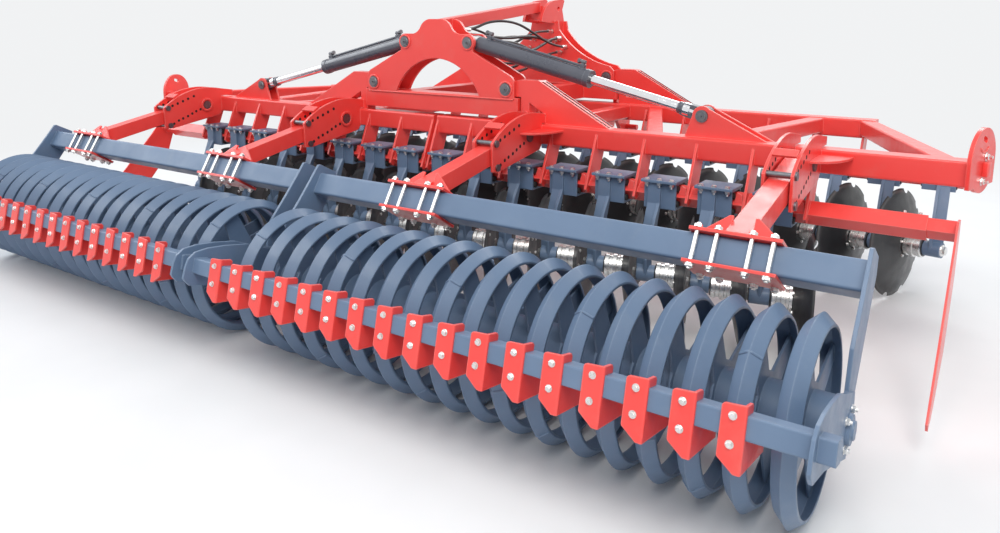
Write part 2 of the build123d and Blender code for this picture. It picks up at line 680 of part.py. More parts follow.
# Centre frame: a cross tube with a tower of two plates at each pair of hinges, two long tubes
# between them, a strut on top and the headstock in front
front_cylinder_y = cylinder_y + row_distance
with BuildPart() as centre_frame:
    for tower_y in (cylinder_y, front_cylinder_y):
        with BuildSketch(Plane.YZ.offset(-cross_tube_half)):
            with Locations((tower_y, cross_tube_z)):
                Rectangle(cross_tube_depth, cross_tube_height)
        extrude(amount=2 * cross_tube_half)
    with BuildSketch(Plane.XZ.offset(-cylinder_y - cross_tube_depth / 2)):
        with Locations((-keel_x, cross_tube_z), (keel_x, cross_tube_z)):
            Rectangle(beam_size, cross_tube_height)
    extrude(amount=cross_tube_depth - row_distance)
    # rear tower
    with BuildSketch(
        Plane.XZ.offset(-cylinder_y - tower_gap / 2 - tower_plate),
        Plane.XZ.offset(-cylinder_y + tower_gap / 2),
    ):
        with BuildLine():
            Line((0, tower_top_z), (dome_half, tower_top_z))
            ThreePointArc(
                (dome_half, tower_top_z), (82, tower_top_z - 15), (108, tower_top_z - 45)
            )
            ThreePointArc(
                (108, tower_top_z - 45), (132, tower_top_z - 70), (168, tower_top_z - 80)
            )
            Polyline(
                (168, tower_top_z - 80),
                (cylinder_pin_x, cylinder_pin_z + cylinder_boss_r),
                (cylinder_pin_x + 32, cylinder_pin_z),
                (cylinder_pin_x + 32, cylinder_pin_z - 46),
                (hinge_x + 14, hinge_z + 76),
            )
            ThreePointArc(
                (hinge_x + 14, hinge_z + 76),
                (hinge_x + 40, hinge_z + 58),
                (hinge_x + lobe_r, hinge_z + 28),
            )
            Polyline(
                (hinge_x + lobe_r, hinge_z + 28),
                (hinge_x + lobe_r, cross_tube_top_z - tower_foot),
                (0, cross_tube_top_z - tower_foot),
            )
            mirror(about=Plane.YZ)
        make_face()
        with Locations((-cylinder_pin_x, cylinder_pin_z), (cylinder_pin_x, cylinder_pin_z)):
            Circle(cylinder_boss_r)
            Circle(cylinder_pin_r + pin_clearance, mode=Mode.SUBTRACT)
        with Locations((-hinge_x, hinge_z), (hinge_x, hinge_z)):
            Circle(hinge_pin_r + pin_clearance, mode=Mode.SUBTRACT)
        with Locations((0, arch_centre_z)):
            Circle(arch_r, mode=Mode.SUBTRACT)
    extrude(amount=tower_plate)
    # front tower, with a narrow neck up to the top link
    with BuildSketch(
        Plane.XZ.offset(-front_cylinder_y - tower_gap / 2 - tower_plate),
        Plane.XZ.offset(-front_cylinder_y + tower_gap / 2),
    ):
        with BuildLine():
            Polyline(
                (0, cross_tube_top_z - tower_foot),
                (hinge_x + lobe_r, cross_tube_top_z - tower_foot),
                (hinge_x + lobe_r, hinge_z + 40),
            )
            Line((hinge_x + lobe_r, hinge_z + 40), (hinge_x + 20, hinge_z + 70))
            ThreePointArc((hinge_x + 20, hinge_z + 70), (250, 1212), (front_neck_half, 1345))
            Line((front_neck_half, 1345), (front_neck_half - 10, front_top_z))
            Line((front_neck_half - 10, front_top_z), (0, front_top_z))
            mirror(about=Plane.YZ)
        make_face()
        with Locations((-hinge_x, hinge_z), (hinge_x, hinge_z)):
            Circle(hinge_pin_r + pin_clearance, mode=Mode.SUBTRACT)
    extrude(amount=tower_plate)
    # strut from the rear tower to a web between the headstock's ears
    strut_start_z = tower_top_z - tower_foot
    with BuildSketch(ahead_plane.offset(-strut_size / 2)):
        Polygon(
            (strut_back_ahead, strut_start_z), (strut_front_ahead, strut_start_z + strut_rise),
            (strut_front_ahead, strut_start_z + strut_rise - strut_size),
            (strut_back_ahead, strut_start_z - strut_size), align=None,
        )
    extrude(amount=strut_size)
    with BuildSketch(ahead_plane.offset(-ear_half_gap - 1)):
        with Locations((strut_front_ahead, ear_web_z)):
            Rectangle(tower_plate, ear_web_height)
    extrude(amount=2 * ear_half_gap + 2)
    # ears for the top link
    with BuildSketch(
        ahead_plane.offset(ear_half_gap), ahead_plane.offset(-ear_half_gap - ear_thickness)
    ):
        with BuildLine():
            ThreePointArc((2160, 1396), (2207, 1482), (2320, 1534))
            Polyline(
                (2320, 1534), (2425, 1545), (2446, 1534), (2420, 1475), (2446, 1398),
                (2446, 1250), (2330, 1250), (2330, 1384), (2160, 1396),
            )
        make_face()
        with Locations((top_pin_ahead, top_pin_z)):
            Circle(top_pin_r, mode=Mode.SUBTRACT)
    extrude(amount=ear_thickness)
    # plates and pins for the lower links, with a tube between them
    shoulder = lower_pin_spread / 2
    with BuildSketch(
        ahead_plane.offset(shoulder - hitch_plate), ahead_plane.offset(-shoulder)
    ):
        Polygon(
            (hitch_foot_ahead, cross_tube_top_z), (hitch_foot_ahead, lower_pin_z + 160),
            (hitch_foot_ahead + 20, lower_pin_z + 60), (lower_pin_ahead - 55, lower_pin_z - 40),
            (lower_pin_ahead, lower_pin_z - 60), (lower_pin_ahead + 48, lower_pin_z - 32),
            (lower_pin_ahead + 56, lower_pin_z + 20), (lower_pin_ahead + 40, cross_tube_top_z),
            align=None,
        )
    extrude(amount=hitch_plate)
    with BuildSketch(Plane.YZ.offset(-shoulder - lower_pin_length)):
        with Locations((roller_y + lower_pin_ahead, lower_pin_z)):
            Circle(lower_pin_r)
    extrude(amount=2 * (shoulder + lower_pin_length))
    with BuildSketch(Plane.YZ.offset(-shoulder)):
        with Locations((roller_y + hitch_tube_ahead, cross_tube_z - 5)):
            RectangleRounded(brace_size, brace_size, tube_corner_r)
    extrude(amount=2 * shoulder)
    with BuildSketch(Plane.YZ.offset(-shoulder + hitch_plate)):
        with Locations((roller_y + lower_pin_ahead, lower_pin_z)):
            Circle(lower_pin_r + 5)
    extrude(amount=2 * (shoulder - hitch_plate), mode=Mode.SUBTRACT)
save(centre_frame.part, "centre_frame")

# Hinge pins and the cylinders' base pins, held by the towers
with BuildPart() as hinge_pins:
    for pin_x, pin_z, pin_r, pin_y in (
        (hinge_x, hinge_z, hinge_pin_r, cylinder_y),
        (hinge_x, hinge_z, hinge_pin_r, front_cylinder_y),
        (cylinder_pin_x, cylinder_pin_z, cylinder_pin_r, cylinder_y),
    ):
        with BuildSketch(Plane.XZ.offset(-pin_y - tower_half)):
            with Locations((-pin_x, pin_z), (pin_x, pin_z)):
                Circle(pin_r)
        extrude(amount=2 * tower_half)
        with BuildSketch(
            Plane.XZ.offset(-pin_y - tower_half - pin_head), Plane.XZ.offset(-pin_y + tower_half)
        ):
            with Locations((-pin_x, pin_z), (pin_x, pin_z)):
                Circle(pin_r + 10)
        extrude(amount=pin_head)
save(hinge_pins.part, "hinge_pins")

# Hydraulic hoses between the two towers, each held at both ends
hose_back = tower_half + cylinder_ahead
hose_front = cylinder_ahead + row_distance - tower_half
hose_routes = (               # X, distance ahead of the roller's axis, Z
    ((60, hose_back, 1325), (60, 1400, 1325), (78, 1560, 1308), (92, 1740, 1296),
     (96, 1920, 1306), (88, 2080, 1300), (84, 2210, 1272), (84, hose_front, 1272)),
    ((118, hose_back, 1295), (118, 1390, 1295), (140, 1520, 1262), (168, 1690, 1222),
     (172, 1880, 1218), (150, 2050, 1252), (124, 2205, 1290), (124, hose_front, 1290)),
    ((-66, hose_back, 1322), (-66, 1395, 1322), (-90, 1550, 1300), (-100, 1735, 1282),
     (-92, 1915, 1290), (-76, 2075, 1302), (-72, 2210, 1285), (-72, hose_front, 1285)),
    ((150, hose_back, 1225), (150, 1390, 1225), (140, 1530, 1168), (112, 1690, 1110),
     (76, 1870, 1088), (52, 2040, 1108), (45, 2200, 1160), (45, hose_front, 1160)),
    ((-150, hose_back, 1225), (-150, 1385, 1225), (-136, 1520, 1160), (-92, 1690, 1100),
     (-36, 1870, 1090), (-22, 2040, 1120), (-40, 2195, 1176), (-40, hose_front, 1176)),
)
hoses = []
for number, route in enumerate(hose_routes):
    points = [Vector(x, roller_y + ahead, z) for x, ahead, z in route]
    radii = []
    for before, corner, after in zip(points, points[1:], points[2:]):
        shorter = min((corner - before).length, (after - corner).length)
        turn = radians((corner - before).get_angle(after - corner))
        radii.append(0.45 * shorter / tan(turn / 2))
    with BuildLine() as hose_line:
        FilletPolyline(*points, radius=radii)
    with BuildPart() as hose:
        with BuildSketch(Plane(origin=points[0], z_dir=points[1] - points[0])):
            Circle(hose_r)
        sweep(path=hose_line.line)
    hose_length = sum(edge.length for edge in hose_line.edges())
    share = hose.part.volume / (pi * hose_r ** 2 * hose_length)
    print(f"hose {number + 1}: radii {[round(radius) for radius in radii]}, volume {share:.4f}")
    hoses.append(hose.part)
save(Compound(children=hoses), "hoses")

# Pins of a wing: the ends of the rod's pin, the roller arms' pivots and their stops
with BuildPart() as wing_pins:
    lug_inner = rod_eye_width / 2 + rod_lug_clearance
    for lug_side in (-1, 1):
        middle = -cylinder_y - lug_side * (lug_inner + rod_lug_thickness / 2)
        with BuildSketch(Plane.XZ.offset(middle - rod_lug_thickness / 2)):
            with Locations((rod_pin_x, rod_pin_z)):
                Circle(rod_eye_bore_r)
        extrude(amount=rod_lug_thickness)
        head = middle - lug_side * (rod_lug_thickness + pin_head) / 2
        with BuildSketch(Plane.XZ.offset(head - pin_head / 2)):
            with Locations((rod_pin_x, rod_pin_z)):
                Circle(rod_eye_bore_r + 8)
        extrude(amount=pin_head)
    pivot_half = roller_arm_width / 2 + bracket_gap + bracket_thickness
    with BuildSketch(*[ahead_plane.offset(x - pivot_half) for x in roller_arm_x]):
        with Locations((arm_pivot_ahead, arm_pivot_z)):
            Circle(arm_pivot_r)
        with Locations(*stop_pin_places):
            Circle(stop_pin_r)
    extrude(amount=2 * pivot_half)
    with BuildSketch(
        *[ahead_plane.offset(x - pivot_half - pin_head) for x in roller_arm_x],
        *[ahead_plane.offset(x + pivot_half) for x in roller_arm_x],
    ):
        with Locations((arm_pivot_ahead, arm_pivot_z)):
            Circle(arm_pivot_r + 8)
        with Locations(*stop_pin_places):
            Circle(stop_pin_r + 5)
    extrude(amount=pin_head)
save(wing_pins.part, "wing_pins_right")
save(other_side(wing_pins.part), "wing_pins_left")

# Folding cylinders: barrel on the tower, rod to the wing
cylinder_run = Vector(rod_pin_x - cylinder_pin_x, 0, rod_pin_z - cylinder_pin_z)
cylinder_plane = Plane(
    origin=(cylinder_pin_x, cylinder_y, cylinder_pin_z), x_dir=(0, 1, 0), z_dir=cylinder_run
)
with BuildPart() as barrel:
    with BuildSketch(cylinder_plane.offset(barrel_r - 8)):
        Circle(barrel_r)
    extrude(amount=barrel_length - barrel_r + 8)
    with BuildSketch(cylinder_plane.offset(barrel_length - gland_length)):
        Circle(barrel_r + 3)
    extrude(amount=gland_length)
    port_plane = Plane(
        origin=cylinder_plane.origin, x_dir=cylinder_run, z_dir=cylinder_plane.y_dir
    )
    with BuildSketch(port_plane.offset(barrel_r - 4)):
        with Locations((port_start, 0), (barrel_length - port_inset, 0)):
            Rectangle(port_size, port_size)
    extrude(amount=port_height)
    with BuildSketch(cylinder_plane.offset(port_start)):
        with Locations((0, barrel_r + port_height - 4 - pipe_r - 3)):
            Circle(pipe_r)
    extrude(amount=barrel_length - port_inset - port_start)
    with BuildSketch(Plane.XZ.offset(-cylinder_y - barrel_eye_width / 2)):
        with Locations((cylinder_pin_x, cylinder_pin_z)):
            Circle(barrel_r - 4)
    extrude(amount=barrel_eye_width)
    with BuildSketch(Plane.XZ.offset(-cylinder_y - barrel_eye_width / 2)):
        with Locations((cylinder_pin_x, cylinder_pin_z)):
            Circle(cylinder_pin_r + pin_clearance)
    extrude(amount=barrel_eye_width, mode=Mode.SUBTRACT)
    with BuildSketch(cylinder_plane.offset(barrel_r + 40)):
        Circle(barrel_r - barrel_wall)
    extrude(amount=barrel_length - barrel_r - 40 - gland_length, mode=Mode.SUBTRACT)
    with BuildSketch(cylinder_plane.offset(barrel_length - gland_length - 5)):
        Circle(rod_r + pin_clearance)
    extrude(amount=gland_length + 10, mode=Mode.SUBTRACT)
save(barrel.part, "barrel_right")
save(other_side(barrel.part), "barrel_left")

rod_start = barrel_length - piston_inset
rod_reach = cylinder_run.length
with BuildPart() as rod:
    with BuildSketch(cylinder_plane.offset(rod_start)):
        Circle(rod_r)
    extrude(amount=rod_reach - rod_start - rod_eye_r + 6)
    with BuildSketch(cylinder_plane.offset(rod_start)):
        Circle(barrel_r - barrel_wall - pin_clearance)
    extrude(amount=piston_length)
    with BuildSketch(cylinder_plane.offset(rod_reach - rod_eye_r - 60)):
        Circle(rod_r + 8)
    extrude(amount=30)
    with BuildSketch(Plane.XZ.offset(-cylinder_y - rod_eye_width / 2)):
        with Locations((rod_pin_x, rod_pin_z)):
            Circle(rod_eye_r)
    extrude(amount=rod_eye_width)
    with BuildSketch(Plane.XZ.offset(-cylinder_y - rod_eye_width / 2)):
        with Locations((rod_pin_x, rod_pin_z)):
            Circle(rod_eye_bore_r)
    extrude(amount=rod_eye_width, mode=Mode.SUBTRACT)
save(rod.part, "rod_right")
save(other_side(rod.part), "rod_left")
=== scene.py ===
import json
from math import cos, pi, radians, sin

import bmesh
import bpy
from mathutils import Euler, Matrix, Vector


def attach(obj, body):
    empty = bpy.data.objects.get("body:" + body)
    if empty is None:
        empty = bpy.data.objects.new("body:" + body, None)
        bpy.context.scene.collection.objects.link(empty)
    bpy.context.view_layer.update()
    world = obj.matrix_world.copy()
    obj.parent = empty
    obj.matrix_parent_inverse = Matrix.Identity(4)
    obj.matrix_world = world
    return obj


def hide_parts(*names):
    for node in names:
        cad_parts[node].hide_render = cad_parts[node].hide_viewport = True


# Disc harrow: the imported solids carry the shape, and this script adds bolts, nuts, hoses, weld
# beads and rubber cords, and the paint and metal of every surface.
# Metres, in the same frame as the solids.

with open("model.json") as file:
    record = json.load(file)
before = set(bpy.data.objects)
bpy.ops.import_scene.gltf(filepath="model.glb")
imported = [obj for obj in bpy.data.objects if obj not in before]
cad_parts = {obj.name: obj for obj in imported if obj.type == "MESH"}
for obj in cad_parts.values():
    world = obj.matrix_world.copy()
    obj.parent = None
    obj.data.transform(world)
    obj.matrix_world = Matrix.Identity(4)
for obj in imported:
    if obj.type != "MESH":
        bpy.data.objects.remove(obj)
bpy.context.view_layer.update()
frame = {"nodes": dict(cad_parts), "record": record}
solids = frame["nodes"]
SIDES = (("right", 1), ("left", -1))

# Places that follow the solids
ROLLER_Y = -1.0985
REAR_BEAM_Y = ROLLER_Y + 1.207
ROW_DISTANCE = 1.153          # from the rear beam to the front one
DIAMOND_BACK = 0.087          # a lower tube stands on edge, this far behind its upper tube
DIAMOND_Z = 0.623
ARM_PITCH = 0.250
ARM_FIRST_X = 0.125
ARM_COUNTS = {"right": (8, 10), "left": (8, 9)}
HOUSING_HALF = 0.060
COVER_TOP_Z = DIAMOND_Z + HOUSING_HALF + 0.012
COVER_THICKNESS = 0.012
COVER_OVERHANG = 0.025
HOUSING_END = 0.075           # from an arm's middle to its housing's end
RING_R = 0.300
RING_FIRST_X = 0.153
RING_PITCH = 0.125
RING_COUNT = 18
RING_HALF_WIDTH = 0.032
RING_RISE = 0.029
SCRAPER_FACE = Vector((0, ROLLER_Y - 0.411, 0.4405))
SCRAPER_TILT = radians(13)
SCRAPER_PLATE = 0.008
SCRAPER_BOLT_X = 0.029        # from a scraper's middle towards the machine's middle
SCRAPER_BOLT_HEIGHTS = (0.024, -0.045)
ROLLER_ARM_X = (0.634, 1.966)
BEAM_TILT = radians(32)
BEAM_CENTRE = Vector((0, ROLLER_Y + 0.278, 0.640))
BEAM_HALF = 0.050
CLAMP_PLATE = 0.012
CLAMP_ROD_X = (-0.123, -0.056, 0.056, 0.123)
CLAMP_ROD_OFFSET = 0.064      # of the rods from the beam's middle, across it
BRACKET_HALF = 0.058          # from a roller arm's middle to the bracket's outer face
BRACKET_PLATE = 0.012
BEAM_TOP_Z = 0.883
BEAM_FACE_Y = REAR_BEAM_Y - 0.050
CYLINDER_Y = ROLLER_Y + 1.230
TOWER_HALF = 0.063
HINGE_PIN = (0.464, 1.048)
BASE_PIN = (0.219, 1.283)
ROD_PIN = (1.506, 0.979)
TOWER_FOOT_Z = 0.996
TOWER_FOOT_X = 0.510
PORT_REACH = (0.096, 0.666)   # the barrel's ports, from its base pin
BARREL_R = 0.060
ROD_EYE_HALF = 0.0215
ROD_LUG_OUTER = 0.049         # from the rod's middle to its lugs' outer faces
DISC_GANG = radians(17)
DISC_TILT = radians(2)
DISC_OFFSET_X = 0.165         # from an arm to its disc's rim centre
DISC_BEHIND = 0.105
DISC_RIM_Z = 0.2798
BOSS_END = 0.225              # from the rim's plane to the boss's far end
END_PLATE_X = 2.534
END_PLATE_TURN = radians(15)
END_PLATE = 0.016
SCRAPER_BRACKET_X = 2.378     # outer face of the bracket that carries the roller's bearing


# Materials


def shader_start(name, colour, roughness, metallic=0.0):
    """A new material and its shader, with the plain values on the shader's own sockets."""
    material = bpy.data.materials.new(name)
    material.use_nodes = True
    tree = material.node_tree
    shader = tree.nodes["Principled BSDF"]
    shader.inputs["Base Color"].default_value = (*colour, 1)
    shader.inputs["Roughness"].default_value = roughness
    shader.inputs["Metallic"].default_value = metallic
    material.diffuse_color = (*colour, 1)
    return material, tree, shader


def noise(tree, scale, detail=4.0, roughness=0.55):
    """A noise pattern on the piece's own coordinates."""
    coordinates = tree.nodes.new("ShaderNodeTexCoord")
    pattern = tree.nodes.new("ShaderNodeTexNoise")
    pattern.inputs["Scale"].default_value = scale
    pattern.inputs["Detail"].default_value = detail
    pattern.inputs["Roughness"].default_value = roughness
    tree.links.new(coordinates.outputs["Object"], pattern.inputs["Vector"])
    return pattern.outputs["Fac"]


def ramp(tree, value, stops):
    """Colours or grey levels along a pattern's value."""
    node = tree.nodes.new("ShaderNodeValToRGB")
    elements = node.color_ramp.elements
    while len(elements) < len(stops):
        elements.new(0.5)
    for element, (position, colour) in zip(elements, stops):
        element.position = position
        element.color = (*colour, 1)
    tree.links.new(value, node.inputs["Fac"])
    return node.outputs["Color"]


def grey(level):
    return (level, level, level)


def soft_edges(tree, radius):
    """Normals that round a plate's sharp edges, and a mask that is white along those edges, where
    the paint gets a painted highlight.
    """
    bevel = tree.nodes.new("ShaderNodeBevel")
    bevel.samples = 4
    bevel.inputs["Radius"].default_value = radius
    geometry = tree.nodes.new("ShaderNodeNewGeometry")
    compare = tree.nodes.new("ShaderNodeVectorMath")
    compare.operation = "DOT_PRODUCT"
    tree.links.new(bevel.outputs["Normal"], compare.inputs[0])
    tree.links.new(geometry.outputs["Normal"], compare.inputs[1])
    highlight_mask = ramp(tree, compare.outputs["Value"], [(0.86, grey(1)), (0.995, grey(0))])
    return bevel.outputs["Normal"], highlight_mask


def blend_colour(tree, factor, base, over):
    mix = tree.nodes.new("ShaderNodeMix")
    mix.data_type = "RGBA"
    tree.links.new(factor, mix.inputs["Factor"])
    tree.links.new(base, mix.inputs["A"])
    mix.inputs["B"].default_value = (*over, 1)
    return mix.outputs["Result"]


def add_bump(tree, shader, height, distance, strength=1.0, normal=None):
    bump = tree.nodes.new("ShaderNodeBump")
    if normal is not None:
        tree.links.new(normal, bump.inputs["Normal"])
    bump.inputs["Distance"].default_value = distance
    bump.inputs["Strength"].default_value = strength
    tree.links.new(height, bump.inputs["Height"])
    tree.links.new(bump.outputs["Normal"], shader.inputs["Normal"])


def paint(name, colour, faded, dusty, edges, roughness, coat=0.35):
    """Gloss machine paint: slow changes of tone, a thin film of dust, a painted highlight along
    sharp edges and a fine orange peel.
    """
    material, tree, shader = shader_start(name, colour, roughness)
    shader.inputs["Coat Weight"].default_value = coat
    shader.inputs["Coat Roughness"].default_value = 0.12
    tone = ramp(tree, noise(tree, 2.6, 5.0), [(0.32, colour), (0.72, faded)])
    dust = ramp(tree, noise(tree, 9.0, 8.0, 0.65), [(0.55, grey(0)), (0.90, grey(0.35))])
    dusted = blend_colour(tree, dust, tone, dusty)
    # Painted highlight: along sharp edges the colour turns towards the lighter edges colour, as if
    # the edges caught the light.
    rounded, edge = soft_edges(tree, 0.006)
    highlighted = blend_colour(tree, edge, dusted, edges)
    tree.links.new(highlighted, shader.inputs["Base Color"])
    gloss = ramp(
        tree, noise(tree, 14.0, 6.0),
        [(0.3, grey(roughness - 0.08)), (0.8, grey(roughness + 0.16))],
    )
    tree.links.new(gloss, shader.inputs["Roughness"])
    add_bump(tree, shader, noise(tree, 420.0, 2.0), 0.0004, 0.35, rounded)
    return material


def bare_metal(name, colour, stain, roughness, grain=60.0, bump=0.0003):
    """Plated or blackened steel with cloudy stains."""
    material, tree, shader = shader_start(name, colour, roughness, metallic=1.0)
    tone = ramp(tree, noise(tree, grain, 6.0, 0.6), [(0.35, colour), (0.75, stain)])
    tree.links.new(tone, shader.inputs["Base Color"])
    gloss = ramp(
        tree, noise(tree, grain * 2.2, 4.0),
        [(0.25, grey(roughness - 0.08)), (0.8, grey(roughness + 0.18))],
    )
    tree.links.new(gloss, shader.inputs["Roughness"])
    add_bump(tree, shader, noise(tree, grain * 9, 2.0), bump, 0.4)
    return material


def rubber(name, colour, roughness):
    """Black hose or cord rubber with a fine woven grain."""
    material, tree, shader = shader_start(name, colour, roughness)
    tone = ramp(
        tree, noise(tree, 30.0, 5.0),
        [(0.3, colour), (0.8, tuple(c * 1.9 + 0.006 for c in colour))],
    )
    tree.links.new(tone, shader.inputs["Base Color"])
    add_bump(tree, shader, noise(tree, 700.0, 1.5), 0.0005, 0.5)
    return material


# Each paint's edges colour is a painted highlight along its sharp edges.
RED = paint(
    "red_paint", colour=(0.84, 0.050, 0.042), faded=(0.86, 0.068, 0.056),
    dusty=(0.74, 0.20, 0.16), edges=(0.95, 0.22, 0.19), roughness=0.36, coat=0.3,
)
GREY = paint(
    "blue_grey_paint", colour=(0.108, 0.166, 0.262), faded=(0.142, 0.208, 0.315),
    dusty=(0.22, 0.26, 0.31), edges=(0.19, 0.26, 0.37), roughness=0.46, coat=0.12,
)
BLACK = paint(
    "black_paint", colour=(0.062, 0.066, 0.086), faded=(0.084, 0.087, 0.108),
    dusty=(0.12, 0.12, 0.13), edges=(0.16, 0.17, 0.20), roughness=0.30, coat=0.5,
)
DISC = paint(
    "disc_paint", colour=(0.016, 0.016, 0.019), faded=(0.028, 0.027, 0.028),
    dusty=(0.10, 0.09, 0.08), edges=(0.09, 0.09, 0.09), roughness=0.42, coat=0.15,
)
ZINC = bare_metal("zinc", (0.82, 0.82, 0.82), (0.68, 0.67, 0.63), 0.28)
DARK = bare_metal("dark_steel", (0.17, 0.175, 0.195), (0.25, 0.245, 0.25), 0.40)
CHROME = bare_metal(
    "rod_chrome", (0.86, 0.86, 0.88), (0.80, 0.80, 0.82), 0.10, grain=25.0, bump=0.00005)
# Painted shade: a near-black surface that stands for the shade inside holes and in the gaps
# between plates.
HOLE_SHADE = rubber("painted_hole_shade", (0.006, 0.004, 0.004), 0.9)
RUBBER = rubber("cord_rubber", (0.014, 0.014, 0.014), 0.62)
HOSE = rubber("hose_rubber", (0.018, 0.018, 0.019), 0.42)

SLOT_FINISH = {
    "red_paint": RED, "blue_grey_paint": GREY, "black_paint": BLACK, "disc_steel": DISC,
    "zinc": ZINC, "dark_pins": DARK, "rod_chrome": CHROME, "hose_rubber": HOSE,
}
for row in frame["record"]["subparts"]:
    solid = solids[row["node"]]
    solid.data.materials.clear()
    solid.data.materials.append(SLOT_FINISH[row["material_slot"]])


# Making pieces


def finish_piece(name, bm, material, body, smooth_angle=None):
    """Turns a bmesh into an object that rides on a body."""
    bmesh.ops.recalc_face_normals(bm, faces=bm.faces)
    mesh = bpy.data.meshes.new(name)
    bm.to_mesh(mesh)
    bm.free()
    piece = bpy.data.objects.new(name, mesh)
    bpy.context.collection.objects.link(piece)
    mesh.materials.append(material)
    if smooth_angle is not None:
        mesh.shade_smooth()
        mesh.set_sharp_from_angle(angle=smooth_angle)
    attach(piece, body)
    return piece


def turned(origin, along, twist=0.0):
    """A matrix at origin whose Z runs along the given direction."""
    matrix = Vector(along).normalized().to_track_quat("Z", "Y").to_matrix().to_4x4()
    matrix.translation = Vector(origin)
    return matrix @ Matrix.Rotation(twist, 4, "Z")


def raised(place, height):
    """The place moved along its own Z."""
    return place @ Matrix.Translation((0, 0, height))


def add_disc(bm, place, radius, height, sides=20, top_radius=None):
    """A short cylinder or cone that stands on the place's XY plane."""
    bmesh.ops.create_cone(
        bm, cap_ends=True, segments=sides, radius1=radius,
        radius2=radius if top_radius is None else top_radius, depth=height,
        matrix=raised(place, height / 2),
    )


def add_bolt(bm, place, size, washer=1.15, head=0.62, stub=0.0):
    """A washer, a six-sided head with a chamfered crown, and the bolt's end on a nut."""
    washer_height = size * 0.16
    head_height = size * head * 1.15
    add_disc(bm, place, size * washer, washer_height, 16)
    seat = raised(place, washer_height)
    add_disc(bm, seat, size * 0.92, head_height * 0.8, 6)
    crown = raised(seat, head_height * 0.8)
    add_disc(bm, crown, size * 0.92, head_height * 0.2, 6, size * 0.74)
    if stub:
        end = raised(crown, head_height * 0.2)
        add_disc(bm, end, size * 0.48, stub, 10)


def bolts(name, places, size, body, **shape):
    """One piece of plated bolts, one at each place."""
    bm = bmesh.new()
    for place in places:
        add_bolt(bm, place, size, **shape)
    return finish_piece(name, bm, ZINC, body)


def add_block(bm, place, size):
    """A box of the given size whose base middle is at the place."""
    box = raised(place, size[2] / 2) @ Matrix.Diagonal((*size, 1))
    made = bmesh.ops.create_cube(bm, size=1, matrix=box)
    edges = dict.fromkeys(edge for vert in made["verts"] for edge in vert.link_edges)
    bmesh.ops.bevel(
        bm, geom=list(edges), offset=min(size) * 0.12, segments=2, profile=0.5, affect="EDGES",
        material=-1,
    )


def add_plate(bm, origin, x_dir, y_dir, outline, thickness):
    """A flat plate: an outline in the plane of the two directions, given a thickness across it."""
    x_dir = Vector(x_dir).normalized()
    y_dir = Vector(y_dir).normalized()
    corners = [bm.verts.new(Vector(origin) + x_dir * u + y_dir * v) for u, v in outline]
    face = bm.faces.new(corners)
    grown = bmesh.ops.extrude_face_region(bm, geom=[face], use_keep_orig=True)
    risen = [item for item in grown["geom"] if isinstance(item, bmesh.types.BMVert)]
    bmesh.ops.translate(bm, verts=risen, vec=x_dir.cross(y_dir) * thickness)


def add_spun(bm, place, profile, steps=24):
    """A ring or sleeve: a closed profile of radius and height pairs, spun round the place's Z."""
    corners = [bm.verts.new(place @ Vector((radius, 0, height))) for radius, height in profile]
    edges = [bm.edges.new(pair) for pair in zip(corners, corners[1:] + corners[:1])]
    bmesh.ops.spin(
        bm, geom=corners + edges, cent=place.translation, axis=place.to_3x3() @ Vector((0, 0, 1)),
        angle=2 * pi, steps=steps, use_merge=True, use_duplicate=False,
    )


def add_bead(bm, start, end, radius):
    """A weld bead: a thin round bar with tapered ends."""
    start, end = Vector(start), Vector(end)
    run = (end - start).normalized()
    place = turned(start, run)
    length = (end - start).length
    add_disc(bm, raised(place, radius), radius, length - 2 * radius, 8)
    add_disc(bm, place, radius * 0.5, radius, 8, radius)
    add_disc(bm, raised(place, length - radius), radius, radius, 8, radius * 0.5)


# Ring roller: weld beads across the rings


def ring_welds(side, sign):
    """Beads over each ring's ridge, at the two places where its halves meet."""
    bm = bmesh.new()
    for index in range(RING_COUNT):
        x = sign * (RING_FIRST_X + index * RING_PITCH)
        for turn in (radians(38 + 31 * (index % 4)), radians(218 + 31 * (index % 4))):
            axis = Matrix.Translation((x, ROLLER_Y, RING_R)) @ Matrix.Rotation(turn, 4, "X")
            ridge = axis @ Vector((0, 0, RING_R - 0.0015))
            for half in (-1, 1):
                edge = axis @ Vector((half * RING_HALF_WIDTH, 0, RING_R - RING_RISE - 0.001))
                add_bead(bm, ridge, edge, 0.0050)
    return finish_piece(f"ring_welds_{side}", bm, GREY, f"roller_{side}", 0.9)


# Scrapers: two bolts on each plate


def scraper_bolts(side, sign):
    out = Vector((0, -cos(SCRAPER_TILT), sin(SCRAPER_TILT)))
    up = Vector((0, sin(SCRAPER_TILT), cos(SCRAPER_TILT)))
    places = []
    for index in range(RING_COUNT - 1):
        x = sign * (RING_FIRST_X + (index + 0.5) * RING_PITCH - SCRAPER_BOLT_X)
        for height in SCRAPER_BOLT_HEIGHTS:
            seat = SCRAPER_FACE + Vector((x, 0, 0)) + up * height + out * SCRAPER_PLATE
            places.append(turned(seat, out, 0.35 * index))
    return bolts(f"scraper_bolts_{side}", places, 0.0094, f"wing_{side}", head=0.7)


# Roller arms: nuts on the clamps, gussets at the arms' feet, painted shade for holes and strips on
# the brackets


def clamp_nuts(side, sign):
    out = Vector((0, sin(BEAM_TILT), cos(BEAM_TILT)))
    along = Vector((0, cos(BEAM_TILT), -sin(BEAM_TILT)))
    places = []
    for arm_x in ROLLER_ARM_X:
        for rod_x in CLAMP_ROD_X:
            for rod_side in (-1, 1):
                middle = BEAM_CENTRE + Vector((sign * (arm_x + rod_x), 0, 0))
                middle = middle + along * rod_side * CLAMP_ROD_OFFSET
                reach = BEAM_HALF + CLAMP_PLATE
                places.append(turned(middle + out * reach, out, rod_x * 9))
                places.append(turned(middle - out * reach, -out, rod_x * 9))
    return bolts(
        f"clamp_nuts_{side}", places, 0.0150, f"wing_{side}", washer=1.0, head=0.62, stub=0.004)


